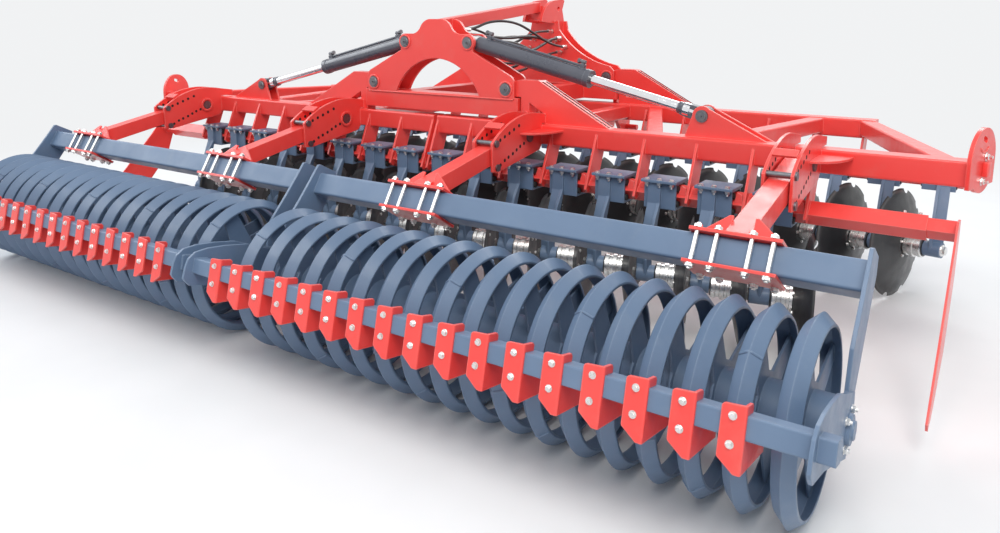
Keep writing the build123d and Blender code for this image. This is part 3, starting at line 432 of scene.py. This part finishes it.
def clamp_gussets(side, sign):
    """Triangular gussets beside the foot of each roller arm, on the clamp's upper plate."""
    bm = bmesh.new()
    out = Vector((0, sin(BEAM_TILT), cos(BEAM_TILT)))
    seat = BEAM_CENTRE + out * (BEAM_HALF + CLAMP_PLATE - 0.001)
    outline = ((0, 0), (0.100, 0), (0.096, 0.010), (0.012, 0.078), (0, 0.078))
    for arm_x in ROLLER_ARM_X:
        for half in (-1, 1):
            origin = seat + Vector((sign * arm_x + half * 0.039, -half * 0.005, 0))
            add_plate(bm, origin, (half, 0, 0), out, outline, 0.010)
    return finish_piece(f"clamp_gussets_{side}", bm, RED, f"wing_{side}")


UPPER_HOLES = ((0.786, 0.849), (0.824, 0.861), (0.863, 0.873), (0.902, 0.886), (0.946, 0.900))
LOWER_HOLES = (
    (0.789, 0.731), (0.824, 0.748), (0.856, 0.759), (0.893, 0.771), (0.926, 0.785),
    (0.957, 0.798), (0.991, 0.808),
)


def bracket_hole_shades(side, sign):
    """Painted shade for the two rows of adjusting holes: thin dark discs on both faces of each
    bracket plate.
    """
    bm = bmesh.new()
    for arm_x in ROLLER_ARM_X:
        for ahead, z in UPPER_HOLES + LOWER_HOLES:
            for half in (-1, 1):
                for offset, facing in (
                        (BRACKET_HALF, half), (BRACKET_HALF - BRACKET_PLATE, -half)):
                    x = sign * arm_x + half * offset
                    seat = turned((x, ROLLER_Y + ahead, z), (facing, 0, 0))
                    add_disc(bm, seat, 0.0085, 0.0005, 16)
    return finish_piece(f"bracket_hole_shades_{side}", bm, HOLE_SHADE, f"wing_{side}")


def bracket_plates(side, sign):
    """A strip across each pair of bracket plates, a curved gusset to the beam and a round boss."""
    bm = bmesh.new()
    strip = ((0, 0), (0.092, 0), (0.092, 0.042), (0, 0.042))
    curve = [(0.125 * cos(t), -0.200 * sin(t)) for t in (0, 0.35, 0.7, 1.05, 1.35, pi / 2)]
    for arm_x in ROLLER_ARM_X:
        foot = (sign * arm_x - 0.046, ROLLER_Y + 0.806, 0.893)
        add_plate(bm, foot, (1, 0, 0), (0, 0.88, 0.47), strip, 0.010)
        origin = (sign * (arm_x + BRACKET_HALF - 0.001), BEAM_FACE_Y + 0.001, BEAM_TOP_Z - 0.030)
        add_plate(bm, origin, (sign, 0, 0), (0, 1, 0), [(0, 0)] + curve, 0.010 * sign)
        boss = turned((sign * (arm_x - BRACKET_HALF), ROLLER_Y + 1.040, 0.835), (-sign, 0, 0))
        add_spun(bm, boss, ((0.031, -0.001), (0.044, -0.001), (0.044, 0.008), (0.031, 0.008)))
    return finish_piece(f"bracket_plates_{side}", bm, RED, f"wing_{side}", 0.5)


# Disc arms: bolts through the covers, rubber cords at the housings' ends, stops on the lower tube


def arm_places(side, sign):
    """Each arm's row, X and its lower tube's Y."""
    for row, count in enumerate(ARM_COUNTS[side]):
        tube_y = REAR_BEAM_Y + row * ROW_DISTANCE - DIAMOND_BACK
        for index in range(count):
            yield row, sign * (ARM_FIRST_X + index * ARM_PITCH), tube_y


def arm_bolts(side, sign):
    """Three bolts through the rear edge of each cover: heads on top, nuts and ends below."""
    heads = []
    nuts = []
    for row, x, tube_y in arm_places(side, sign):
        for offset in (-0.058, 0.0, 0.058):
            y = tube_y - HOUSING_HALF - COVER_OVERHANG / 2
            heads.append(turned((x + offset, y, COVER_TOP_Z), (0, 0, 1), x))
            nuts.append(turned((x + offset, y, COVER_TOP_Z - COVER_THICKNESS), (0, 0, -1), x))
    bolts(f"arm_bolts_{side}", heads, 0.0115, f"wing_{side}", washer=1.05, head=0.5)
    bolts(f"arm_nuts_{side}", nuts, 0.0115, f"wing_{side}", washer=1.05, head=0.9, stub=0.008)


def housing_cords(side, sign):
    """Four rubber cords, squeezed in the corners between the housing and the tube on edge."""
    bm = bmesh.new()
    cord_r = 0.0146
    length = 0.160
    corner = 0.0350
    for row, x, tube_y in arm_places(side, sign):
        for dy in (-corner, corner):
            for dz in (-corner, corner):
                start = turned((x - length / 2, tube_y + dy, DIAMOND_Z + dz), (1, 0, 0))
                add_disc(bm, start, cord_r, length, 12)
    return finish_piece(f"housing_cords_{side}", bm, RUBBER, f"wing_{side}", 0.7)


def tube_stops(side, sign):
    """Small stop plates on the lower tube beside each housing."""
    bm = bmesh.new()
    outline = ((0, 0), (0.040, 0), (0.034, 0.046), (0.012, 0.056))
    for row, x, tube_y in arm_places(side, sign):
        for half in (-1, 1):
            origin = (x + half * (HOUSING_END + 0.002), tube_y - 0.036, DIAMOND_Z - 0.004)
            add_plate(bm, origin, (half, 0, 0), (0, 0.20, 1), outline, 0.008)
    return finish_piece(f"tube_stops_{side}", bm, RED, f"wing_{side}")


def disc_axis(row):
    """The direction of a disc's axis towards its hub, and the rim's side of the arm."""
    turn = 1 if row == 0 else -1
    flat = cos(DISC_TILT)
    axis = Vector((-turn * cos(DISC_GANG) * flat, -sin(DISC_GANG) * flat, sin(DISC_TILT)))
    return turn, axis


def disc_rims(side, sign):
    """Each disc's row, number and a place at its rim's centre, Z towards its hub."""
    numbers = [0, 0]
    for row, x, tube_y in arm_places(side, sign):
        turn, axis = disc_axis(row)
        numbers[row] += 1
        rim = Vector((x + turn * DISC_OFFSET_X, tube_y - DISC_BEHIND, DISC_RIM_Z))
        yield row, numbers[row], turned(rim, axis)


HUB_PROFILE = (               # radius, height above the rim's plane
    (0.0452, 0.0585), (0.0530, 0.0585), (0.0530, 0.0700), (0.0485, 0.0725), (0.0485, 0.0820),
    (0.0560, 0.0845), (0.0560, 0.1010), (0.0485, 0.1035), (0.0485, 0.1180), (0.0525, 0.1205),
    (0.0525, 0.1370), (0.0452, 0.1400),
)


def disc_hubs(side, sign):
    """Plated bearing sleeves on the discs' hubs, with the bolts that hold each disc."""
    for row, number, rim in disc_rims(side, sign):
        bm = bmesh.new()
        add_spun(bm, rim, HUB_PROFILE, 20)
        for hole in range(5):
            spoke = rim @ Matrix.Rotation(2 * pi * hole / 5 + 0.4 * number, 4, "Z")
            add_bolt(bm, spoke @ Matrix.Translation((0.066, 0, 0.055)), 0.0080, washer=1.0)
            under = spoke @ Matrix.Translation((0.060, 0, 0.049)) @ Matrix.Rotation(pi, 4, "X")
            add_bolt(bm, under, 0.0085, washer=1.0, head=0.4)
        row_name = ("rear", "front")[row]
        disc = f"disc_{row_name}_{side}_{number}"
        finish_piece(f"hub_{row_name}_{side}_{number}", bm, ZINC, disc, 0.6)


def boss_caps(side, sign):
    """Plated caps and nuts on the far ends of the arms' bosses."""
    bm = bmesh.new()
    for row, number, rim in disc_rims(side, sign):
        end = raised(rim, BOSS_END)
        add_disc(bm, end, 0.030, 0.006, 24, 0.028)
        add_disc(bm, raised(end, 0.006), 0.021, 0.012, 6)
    return finish_piece(f"boss_caps_{side}", bm, ZINC, f"wing_{side}", 0.6)


# Towers, pins and cylinders


def pin_faces():
    """Grooved faces and grease nipples on the hinge pins and the cylinders' pins."""
    tower_pins = [
        (sign * x, CYLINDER_Y + row, z, r)
        for _, sign in SIDES
        for x, z, r, row in (
            (*HINGE_PIN, 0.032, 0), (*HINGE_PIN, 0.032, ROW_DISTANCE), (*BASE_PIN, 0.030, 0))
    ]
    for name, body, half, places in (
        ("tower_pin_faces", "centre", TOWER_HALF + 0.008, tower_pins),
        ("rod_pin_faces_right", "wing_right", ROD_LUG_OUTER,
         [(ROD_PIN[0], CYLINDER_Y, ROD_PIN[1], 0.028)]),
        ("rod_pin_faces_left", "wing_left", ROD_LUG_OUTER,
         [(-ROD_PIN[0], CYLINDER_Y, ROD_PIN[1], 0.028)]),
    ):
        bm = bmesh.new()
        for x, y, z, radius in places:
            for facing in (-1, 1):
                face = turned((x, y + facing * half, z), (0, facing, 0))
                add_disc(bm, face, radius * 0.80, 0.0025, 28, radius * 0.74)
                add_disc(bm, face, radius * 0.42, 0.0045, 20, radius * 0.36)
                add_disc(bm, face, 0.0045, 0.012, 6, 0.003)
        finish_piece(name, bm, DARK, body, 0.6)


def tower_trim():
    """Boss rings round the pins and weld beads along the towers' feet."""
    bm = bmesh.new()
    for row in (0, ROW_DISTANCE):
        for facing in (-1, 1):
            y = CYLINDER_Y + row + facing * TOWER_HALF
            places = [(sign * HINGE_PIN[0], HINGE_PIN[1], 0.0335) for _, sign in SIDES]
            if row == 0:
                places += [(sign * BASE_PIN[0], BASE_PIN[1], 0.0315) for _, sign in SIDES]
            for x, z, inner in places:
                ring = turned((x, y - facing * 0.001, z), (0, facing, 0))
                outer = inner + 0.0095
                profile = (
                    (inner, 0), (outer, 0), (outer, 0.005), (outer - 0.002, 0.007), (inner, 0.007))
                add_spun(bm, ring, profile, 32)
            bead_y = CYLINDER_Y + row + facing * (TOWER_HALF - 0.002)
            ends = [(x, bead_y, TOWER_FOOT_Z) for x in (-TOWER_FOOT_X, TOWER_FOOT_X)]
            add_bead(bm, *ends, 0.0045)
    return finish_piece("tower_trim", bm, RED, "centre", 0.6)


def cylinder_line(sign):
    """The rod pin, the direction from it towards the base pin, and the direction up across it."""
    pin = Vector((sign * ROD_PIN[0], CYLINDER_Y, ROD_PIN[1]))
    base = Vector((sign * BASE_PIN[0], CYLINDER_Y, BASE_PIN[1]))
    back = (base - pin).normalized()
    up = Vector((-sign * back.z, 0, sign * back.x)) * -1
    return pin, base, back, up


ROD_EYE_PROFILE = (           # radius, height
    (0.0203, 0), (0.0400, 0), (0.0420, 0.002), (0.0420, 0.041), (0.0400, 0.043), (0.0203, 0.043),
)
CLEVIS_OUTLINE = (            # along the rod from its pin, across it
    (0.034, -0.031), (0.070, -0.031), (0.112, -0.0265), (0.112, 0.0265), (0.070, 0.031),
    (0.034, 0.031),
)


def rod_end(side, sign):
    """The black clevis on the rod's eye, with its taper and collar."""
    pin, base, back, up = cylinder_line(sign)
    bm = bmesh.new()
    eye = turned(pin - Vector((0, ROD_EYE_HALF, 0)), (0, 1, 0))
    add_spun(bm, eye, ROD_EYE_PROFILE, 40)
    y_offset = ROD_EYE_HALF if back.cross(up).y < 0 else -ROD_EYE_HALF
    origin = pin + Vector((0, y_offset, 0))
    add_plate(bm, origin, back, up, CLEVIS_OUTLINE, 2 * ROD_EYE_HALF)
    collar = turned(pin + back * 0.104, back)
    add_disc(bm, collar, 0.0290, 0.020, 32)
    add_disc(bm, raised(collar, 0.020), 0.0290, 0.006, 32, 0.0255)
    return finish_piece(f"rod_end_{side}", bm, BLACK, f"rod_{side}", 0.6)


def barrel_fittings(side, sign):
    """Elbows on the barrel's ports."""
    pin, base, back, up = cylinder_line(sign)
    bm = bmesh.new()
    for reach in PORT_REACH:
        seat = base - back * reach + up * (BARREL_R - 0.0005)
        add_disc(bm, turned(seat, up), 0.0125, 0.009, 6)
        add_disc(bm, turned(seat + up * 0.009, up), 0.0095, 0.010, 20)
        elbow = turned(seat + up * 0.012 - back * 0.012, back)
        add_disc(bm, elbow, 0.0100, 0.030, 20)
        add_disc(bm, raised(elbow, 0.030), 0.0125, 0.012, 6)
    return finish_piece(f"barrel_fittings_{side}", bm, DARK, f"barrel_{side}", 0.6)


def arm_seam_shades(side, sign):
    """Strips of painted shade along the sloping backs of the hinge arms, in the gaps between their
    side plates.
    """
    bm = bmesh.new()
    slope_start = Vector((sign * 0.665, 0, 1.0925))
    slope_end = Vector((sign * 1.045, 0, 0.8880))
    run = slope_end - slope_start
    width = 0.0050
    outline = ((0, 0), (run.length, 0), (run.length, width), (0, width))
    for row in (0, ROW_DISTANCE):
        for offset in (-0.0265, 0.0075):
            origin = slope_start + Vector((0, CYLINDER_Y + row + offset, 0))
            add_plate(bm, origin, run, (0, 1, 0), outline, 0.0020 * sign)
    return finish_piece(f"arm_seam_shades_{side}", bm, HOLE_SHADE, f"wing_{side}")


# Wing ends


def end_plate_trim(side, sign):
    """Two plated bolts, a red stop block and a raised arc on the outer face of each end plate."""
    along = Vector((sign * sin(END_PLATE_TURN), cos(END_PLATE_TURN), 0))
    out = Vector((sign * cos(END_PLATE_TURN), -sin(END_PLATE_TURN), 0))
    corner = Vector((sign * END_PLATE_X, REAR_BEAM_Y - 0.077, 0)) + out * END_PLATE

    def on_plate(reach, z):
        return corner + along * reach + Vector((0, 0, z))

    seats = [turned(on_plate(*spot), out, 0.4) for spot in ((0.145, 0.893), (0.120, 0.800))]
    bolts(f"end_plate_bolts_{side}", seats, 0.0135, f"wing_{side}", stub=0.012)
    bm = bmesh.new()
    add_block(bm, turned(on_plate(0.135, 0.846), out), (0.034, 0.056, 0.020))
    turns = [radians(200 + 140 * step / 8) for step in range(9)]
    arc = [on_plate(0.125 + 0.045 * cos(turn), 0.940 + 0.028 * sin(turn)) for turn in turns]
    for start, end in zip(arc, arc[1:]):
        add_bead(bm, start, end, 0.0045)
    finish_piece(f"end_plate_block_{side}", bm, RED, f"wing_{side}", 0.6)


def slide_bolts(side, sign):
    """Two bolts that hold the deflector's tube in the rear lower tube."""
    out = Vector((0, 1, 1)).normalized()
    middle = Vector((0, REAR_BEAM_Y - DIAMOND_BACK, DIAMOND_Z)) + out * 0.035
    seats = [turned(middle + Vector((sign * x, 0, 0)), out, 0.3) for x in (2.345, 2.400)]
    bolts(f"slide_bolts_{side}", seats, 0.0125, f"wing_{side}", head=0.9, stub=0.014)


def shaft_caps(side, sign):
    """A bolted bearing flange on the outer scraper bracket, round the roller's shaft."""
    x = sign * SCRAPER_BRACKET_X
    out = Vector((sign, 0, 0))
    seats = []
    for turn in (45, 135, 225, 315):
        y = ROLLER_Y + 0.058 * cos(radians(turn))
        z = RING_R + 0.058 * sin(radians(turn))
        seats.append(turned((x, y, z), out, turn))
    bolts(f"shaft_bolts_{side}", seats, 0.0115, f"wing_{side}", stub=0.005)
    bm = bmesh.new()
    add_disc(bm, turned((x - sign * 0.001, ROLLER_Y, RING_R), out), 0.046, 0.012, 40, 0.042)
    add_disc(bm, turned((x, ROLLER_Y, RING_R), out), 0.030, 0.018, 32, 0.027)
    finish_piece(f"shaft_caps_{side}", bm, GREY, f"wing_{side}", 0.6)


# Hoses between the towers, along the same routes as the solids

HOSE_BACK = 1.293
HOSE_FRONT = 2.320
HOSE_ROUTES = (               # X, distance ahead of the roller's axis, Z
    ((0.060, HOSE_BACK, 1.325), (0.060, 1.400, 1.325), (0.078, 1.560, 1.308),
     (0.092, 1.740, 1.296), (0.096, 1.920, 1.306), (0.088, 2.080, 1.300),
     (0.084, 2.210, 1.272), (0.084, HOSE_FRONT, 1.272)),
    ((0.118, HOSE_BACK, 1.295), (0.118, 1.390, 1.295), (0.140, 1.520, 1.262),
     (0.168, 1.690, 1.222), (0.172, 1.880, 1.218), (0.150, 2.050, 1.252),
     (0.124, 2.205, 1.290), (0.124, HOSE_FRONT, 1.290)),
    ((-0.066, HOSE_BACK, 1.322), (-0.066, 1.395, 1.322), (-0.090, 1.550, 1.300),
     (-0.100, 1.735, 1.282), (-0.092, 1.915, 1.290), (-0.076, 2.075, 1.302),
     (-0.072, 2.210, 1.285), (-0.072, HOSE_FRONT, 1.285)),
    ((0.150, HOSE_BACK, 1.225), (0.150, 1.390, 1.225), (0.140, 1.530, 1.168),
     (0.112, 1.690, 1.110), (0.076, 1.870, 1.088), (0.052, 2.040, 1.108),
     (0.045, 2.200, 1.160), (0.045, HOSE_FRONT, 1.160)),
    ((-0.150, HOSE_BACK, 1.225), (-0.150, 1.385, 1.225), (-0.136, 1.520, 1.160),
     (-0.092, 1.690, 1.100), (-0.036, 1.870, 1.090), (-0.022, 2.040, 1.120),
     (-0.040, 2.195, 1.176), (-0.040, HOSE_FRONT, 1.176)),
)
SMALL_HOSE_ROUTES = (
    ((0.095, HOSE_BACK, 1.350), (0.095, 1.380, 1.350), (0.120, 1.520, 1.400),
     (0.170, 1.700, 1.395), (0.185, 1.880, 1.330), (0.170, 2.060, 1.270),
     (0.168, 2.230, 1.235), (0.168, HOSE_FRONT, 1.235)),
    ((0.020, HOSE_BACK, 1.300), (0.020, 1.385, 1.300), (0.020, 1.520, 1.262),
     (0.034, 1.690, 1.240), (0.056, 1.870, 1.262), (0.070, 2.060, 1.330),
     (0.060, 2.225, 1.335), (0.060, HOSE_FRONT, 1.335)),
    ((-0.110, HOSE_BACK, 1.300), (-0.110, 1.390, 1.300), (-0.140, 1.530, 1.352),
     (-0.170, 1.700, 1.362), (-0.165, 1.880, 1.320), (-0.130, 2.060, 1.250),
     (-0.110, 2.225, 1.225), (-0.110, HOSE_FRONT, 1.225)),
    ((0.185, HOSE_BACK, 1.262), (0.185, 1.375, 1.262), (0.215, 1.500, 1.290),
     (0.235, 1.680, 1.262), (0.225, 1.870, 1.190), (0.205, 2.050, 1.140),
     (0.205, 2.225, 1.130), (0.205, HOSE_FRONT, 1.130)),
    ((-0.020, HOSE_BACK, 1.240), (-0.020, 1.380, 1.240), (0.006, 1.520, 1.190),
     (0.040, 1.690, 1.150), (0.100, 1.860, 1.140), (0.140, 2.050, 1.175),
     (0.128, 2.225, 1.200), (0.128, HOSE_FRONT, 1.200)),
)


def add_hose(name, route, radius, fittings):
    """A smooth hose along its route's points, with a union and a crimped ferrule at each end."""
    curve = bpy.data.curves.new(name, "CURVE")
    curve.dimensions = "3D"
    curve.bevel_depth = radius
    curve.bevel_resolution = 5
    curve.resolution_u = 10
    curve.use_fill_caps = True
    spline = curve.splines.new("NURBS")
    spline.points.add(len(route) - 1)
    for point, (x, ahead, z) in zip(spline.points, route):
        point.co = (x, ROLLER_Y + ahead, z, 1)
    spline.order_u = 3
    spline.use_endpoint_u = True
    curve.materials.append(HOSE)
    hose = bpy.data.objects.new(name, curve)
    bpy.context.collection.objects.link(hose)
    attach(hose, "centre")
    for (x, ahead, z), facing in ((route[0], 1), (route[-1], -1)):
        seat = turned((x, ROLLER_Y + ahead, z), (0, facing, 0))
        add_disc(fittings, seat, radius * 1.85, 0.016, 6)
        add_disc(fittings, raised(seat, 0.016), radius * 1.35, 0.006, 20)
        add_disc(fittings, raised(seat, 0.022), radius * 1.5, 0.040, 24, radius * 1.4)
    return hose


def tower_hoses():
    """Smooth hoses in place of the solids, and thinner ones that cross between them."""
    fittings = bmesh.new()
    for number, route in enumerate(HOSE_ROUTES):
        hose = add_hose(f"hose_{number + 1}", route, 0.009, fittings)
        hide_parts("hoses")
    for number, route in enumerate(SMALL_HOSE_ROUTES):
        add_hose(f"small_hose_{number + 1}", route, 0.0075, fittings)
    return finish_piece("hose_fittings", fittings, ZINC, "centre", 0.6)


tower_hoses()
pin_faces()
tower_trim()
for side, sign in SIDES:
    ring_welds(side, sign)
    scraper_bolts(side, sign)
    clamp_nuts(side, sign)
    clamp_gussets(side, sign)
    bracket_hole_shades(side, sign)
    bracket_plates(side, sign)
    arm_bolts(side, sign)
    housing_cords(side, sign)
    tube_stops(side, sign)
    disc_hubs(side, sign)
    boss_caps(side, sign)
    rod_end(side, sign)
    barrel_fittings(side, sign)
    arm_seam_shades(side, sign)
    end_plate_trim(side, sign)
    slide_bolts(side, sign)
    shaft_caps(side, sign)


# Camera, light and floor


def make_camera():
    """The photograph's view: low, behind the right-hand end, looking along the machine."""
    data = bpy.data.cameras.new("camera")
    data.sensor_width = 36.0
    data.lens = 27.56
    data.shift_y = -0.1086
    data.clip_start = 0.05
    data.clip_end = 100.0
    camera = bpy.data.objects.new("camera", data)
    bpy.context.collection.objects.link(camera)
    camera.location = (2.683, ROLLER_Y - 2.122, 1.385)
    camera.rotation_euler = Euler((pi / 2 - 0.174, -0.002, 0.601), "XYZ")
    bpy.context.scene.camera = camera


def area_light(name, place, target, size, power, colour=(1, 1, 1)):
    data = bpy.data.lights.new(name, "AREA")
    data.shape = "RECTANGLE"
    data.size = size[0]
    data.size_y = size[1]
    data.energy = power
    data.color = colour
    lamp = bpy.data.objects.new(name, data)
    bpy.context.collection.objects.link(lamp)
    lamp.location = place
    lamp.rotation_euler = (Vector(target) - Vector(place)).to_track_quat("-Z", "Y").to_euler()


BACKDROP = (0.88, 0.89, 0.90)


def seen_directly(tree):
    """One for rays from the camera and for reflections, nought for the light on the object."""
    path = tree.nodes.new("ShaderNodeLightPath")
    either = tree.nodes.new("ShaderNodeMath")
    either.operation = "MAXIMUM"
    tree.links.new(path.outputs["Is Camera Ray"], either.inputs[0])
    tree.links.new(path.outputs["Is Glossy Ray"], either.inputs[1])
    last = tree.nodes.new("ShaderNodeMath")
    last.operation = "MAXIMUM"
    tree.links.new(either.outputs["Value"], last.inputs[0])
    tree.links.new(path.outputs["Is Transmission Ray"], last.inputs[1])
    return last.outputs["Value"]


def make_world():
    world = bpy.data.worlds.new("studio")
    bpy.context.scene.world = world
    world.use_nodes = True
    tree = world.node_tree
    light = tree.nodes["Background"]
    light.inputs["Color"].default_value = (0.86, 0.93, 1.0, 1)
    light.inputs["Strength"].default_value = 0.62
    white = tree.nodes.new("ShaderNodeBackground")
    white.inputs["Color"].default_value = (*BACKDROP, 1)
    white.inputs["Strength"].default_value = 1.0
    mix = tree.nodes.new("ShaderNodeMixShader")
    tree.links.new(seen_directly(tree), mix.inputs["Fac"])
    tree.links.new(light.outputs["Background"], mix.inputs[1])
    tree.links.new(white.outputs["Background"], mix.inputs[2])
    tree.links.new(mix.outputs["Shader"], tree.nodes["World Output"].inputs["Surface"])


def make_floor():
    bm = bmesh.new()
    bmesh.ops.create_grid(bm, x_segments=1, y_segments=1, size=60)
    mesh = bpy.data.meshes.new("floor")
    bm.to_mesh(mesh)
    bm.free()
    floor = bpy.data.objects.new("floor", mesh)
    bpy.context.collection.objects.link(floor)
    material, tree, shader = shader_start("floor", (0.80, 0.80, 0.80), 0.9)
    tone = ramp(tree, noise(tree, 1.5, 3.0), [(0.3, grey(0.78)), (0.7, grey(0.82))])
    tree.links.new(tone, shader.inputs["Base Color"])
    # Far from the object the floor fades into the backdrop's colour
    coordinates = tree.nodes.new("ShaderNodeTexCoord")
    distance = tree.nodes.new("ShaderNodeVectorMath")
    distance.operation = "LENGTH"
    tree.links.new(coordinates.outputs["Object"], distance.inputs[0])
    reach = tree.nodes.new("ShaderNodeMapRange")
    reach.interpolation_type = "SMOOTHSTEP"
    reach.inputs["From Min"].default_value = 2.8
    reach.inputs["From Max"].default_value = 7.0
    tree.links.new(distance.outputs["Value"], reach.inputs["Value"])
    fade = tree.nodes.new("ShaderNodeMath")
    fade.operation = "MULTIPLY"
    tree.links.new(reach.outputs["Result"], fade.inputs[0])
    tree.links.new(seen_directly(tree), fade.inputs[1])
    glow = tree.nodes.new("ShaderNodeEmission")
    glow.inputs["Color"].default_value = (*BACKDROP, 1)
    mix = tree.nodes.new("ShaderNodeMixShader")
    tree.links.new(fade.outputs["Value"], mix.inputs["Fac"])
    tree.links.new(shader.outputs["BSDF"], mix.inputs[1])
    tree.links.new(glow.outputs["Emission"], mix.inputs[2])
    tree.links.new(mix.outputs["Shader"], tree.nodes["Material Output"].inputs["Surface"])
    mesh.materials.append(material)


make_camera()
make_world()
make_floor()
area_light(
    "key", place=(3.5, -4.5, 6.5), target=(0.3, -0.3, 0.4), size=(5, 4), power=420,
    colour=(1.0, 0.98, 0.95),
)
area_light(
    "fill", place=(-6.0, -2.0, 5.0), target=(-0.5, 0, 0.5), size=(5, 5), power=260,
    colour=(0.92, 0.96, 1.0),
)
area_light("back", place=(1.0, 6.5, 5.5), target=(0, 0.5, 0.5), size=(6, 3), power=260)

bpy.context.scene.view_settings.view_transform = "Standard"
